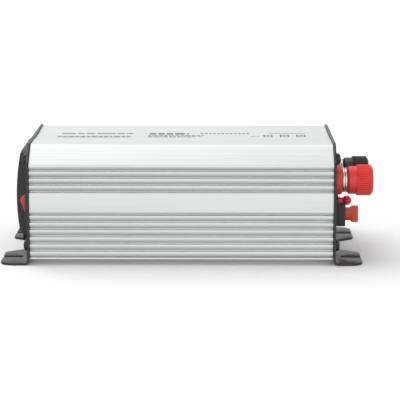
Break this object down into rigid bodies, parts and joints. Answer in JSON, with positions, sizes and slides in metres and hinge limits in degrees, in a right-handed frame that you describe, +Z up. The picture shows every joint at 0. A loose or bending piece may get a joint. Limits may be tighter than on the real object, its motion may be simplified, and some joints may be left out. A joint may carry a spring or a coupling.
{
  "type": "power inverter",
  "caption": "Small portable DC to AC power inverter: ribbed aluminium housing between black end plates with slotted feet, mains socket and rocker at one end, binding posts at the other.",
  "frame": {"origin": "under the middle of the object's overall box, on the surface it stands on", "axes": "+Z up, +X from the mains end to the battery end, along the length, +Y to the fan's side"},
  "size_m": [0.2422, 0.122, 0.0775],
  "materials": {
    "housing": "blasted and clear anodised",
    "end_plate": "fine black powder coat",
    "screw": "black oxide",
    "fascia": "fine spark texture",
    "black_moulding": "moulded",
    "shutter": "moulded",
    "rocker": "moulded",
    "contact": "stamped",
    "plated": "bright nickel plate",
    "usb_tongue": "moulded",
    "green_lens": "clear moulded",
    "red_lens": "clear moulded",
    "red_terminal": "moulded",
    "black_terminal": "moulded",
    "reset_button": "moulded",
    "fuse_body": "clear moulded",
    "fuse_link": "tinned",
    "board": "solder mask",
    "ferrite": "sintered",
    "winding": "taped",
    "capacitor": "sleeved",
    "choke": "enamelled wire",
    "clamp_bar": "mill finish",
    "red_lead": "insulated",
    "black_lead": "insulated"
  },
  "bodies": {
    "root": {"top_shell": "housing", "bottom_shell": "housing", "ac_end_plate": "end_plate", "dc_end_plate": "end_plate", "ac_plate_screw_1": "screw", "ac_plate_screw_2": "screw", "ac_plate_screw_3": "screw", "ac_plate_screw_4": "screw", "dc_plate_screw_1": "screw", "dc_plate_screw_2": "screw", "dc_plate_screw_3": "screw", "dc_plate_screw_4": "screw", "socket_fascia": "fascia", "socket_back": "black_moulding", "live_contact": "contact", "neutral_contact": "contact", "earth_strap": "plated", "fascia_screw_1": "screw", "fascia_screw_2": "screw", "switch_bezel": "black_moulding", "usb_shell": "plated", "usb_tongue": "usb_tongue", "power_led": "green_lens", "fault_led": "red_lens", "red_terminal_base": "red_terminal", "red_terminal_stud": "plated", "black_terminal_base": "black_terminal", "black_terminal_stud": "plated", "breaker_body": "black_moulding", "breaker_nut": "plated", "fuse_holder": "black_moulding", "fan_frame": "black_moulding", "fan_screw_1": "screw", "fan_screw_2": "screw", "fan_screw_3": "screw", "fan_screw_4": "screw", "circuit_board": "board", "transformer_core": "ferrite", "transformer_winding": "winding", "input_capacitor": "capacitor", "output_capacitor": "capacitor", "output_choke": "choke", "power_transistor_1": "black_moulding", "power_transistor_2": "black_moulding", "power_transistor_3": "black_moulding", "power_transistor_4": "black_moulding", "near_clamp_bar": "clamp_bar", "far_clamp_bar": "clamp_bar", "red_dc_lead": "red_lead", "black_dc_lead": "black_lead"},
    "rocker": {"switch_rocker": "rocker"},
    "shutter": {"socket_shutter": "shutter"},
    "red_washer": {"red_terminal_washer": "plated"},
    "red_knob": {"red_terminal_knob": "red_terminal"},
    "black_washer": {"black_terminal_washer": "plated"},
    "black_knob": {"black_terminal_knob": "black_terminal"},
    "reset_button": {"reset_button": "reset_button"},
    "fuse": {"fuse_body": "fuse_body", "fuse_link": "fuse_link"},
    "fan_rotor": {"fan_rotor": "black_moulding"}
  },
  "joints": [
    {"name": "rocker_tilt", "type": "hinge", "parent": "root", "child": "rocker", "pos_m": [-0.1032, -0.045, 0.0375], "axis": [0, 1, 0], "range_deg": [0, 40]},
    {"name": "shutter_turn", "type": "hinge", "parent": "root", "child": "shutter", "pos_m": [-0.0915, 0, 0.04], "axis": [1, 0, 0], "range_deg": [0, 45], "stiffness_Nm_per_rad": 0.004},
    {"name": "red_washer_slide", "type": "slide", "parent": "root", "child": "red_washer", "axis": [1, 0, 0], "range_m": [0, 0.005]},
    {"name": "red_knob_turn", "type": "hinge", "parent": "red_washer", "child": "red_knob", "pos_m": [0.1134, -0.03, 0.051], "axis": [1, 0, 0], "range_deg": [0, 1800]},
    {"name": "black_washer_slide", "type": "slide", "parent": "root", "child": "black_washer", "axis": [1, 0, 0], "range_m": [0, 0.005]},
    {"name": "black_knob_turn", "type": "hinge", "parent": "black_washer", "child": "black_knob", "pos_m": [0.1134, 0.006, 0.051], "axis": [1, 0, 0], "range_deg": [0, 1800]},
    {"name": "reset_press", "type": "slide", "parent": "root", "child": "reset_button", "axis": [-1, 0, 0], "range_m": [0, 0.002], "stiffness_N_per_m": 300},
    {"name": "fuse_pull", "type": "slide", "parent": "root", "child": "fuse", "axis": [1, 0, 0], "range_m": [0, 0.016]},
    {"name": "fan_spin", "type": "hinge", "parent": "root", "child": "fan_rotor", "pos_m": [0.0894, 0.034, 0.042], "axis": [1, 0, 0], "continuous": true}
  ],
  "couplings": [
    {"joint": "red_knob_turn", "follows": "red_washer_slide", "rad_per_m": 6283.2},
    {"joint": "black_knob_turn", "follows": "black_washer_slide", "rad_per_m": 6283.2}
  ]
}
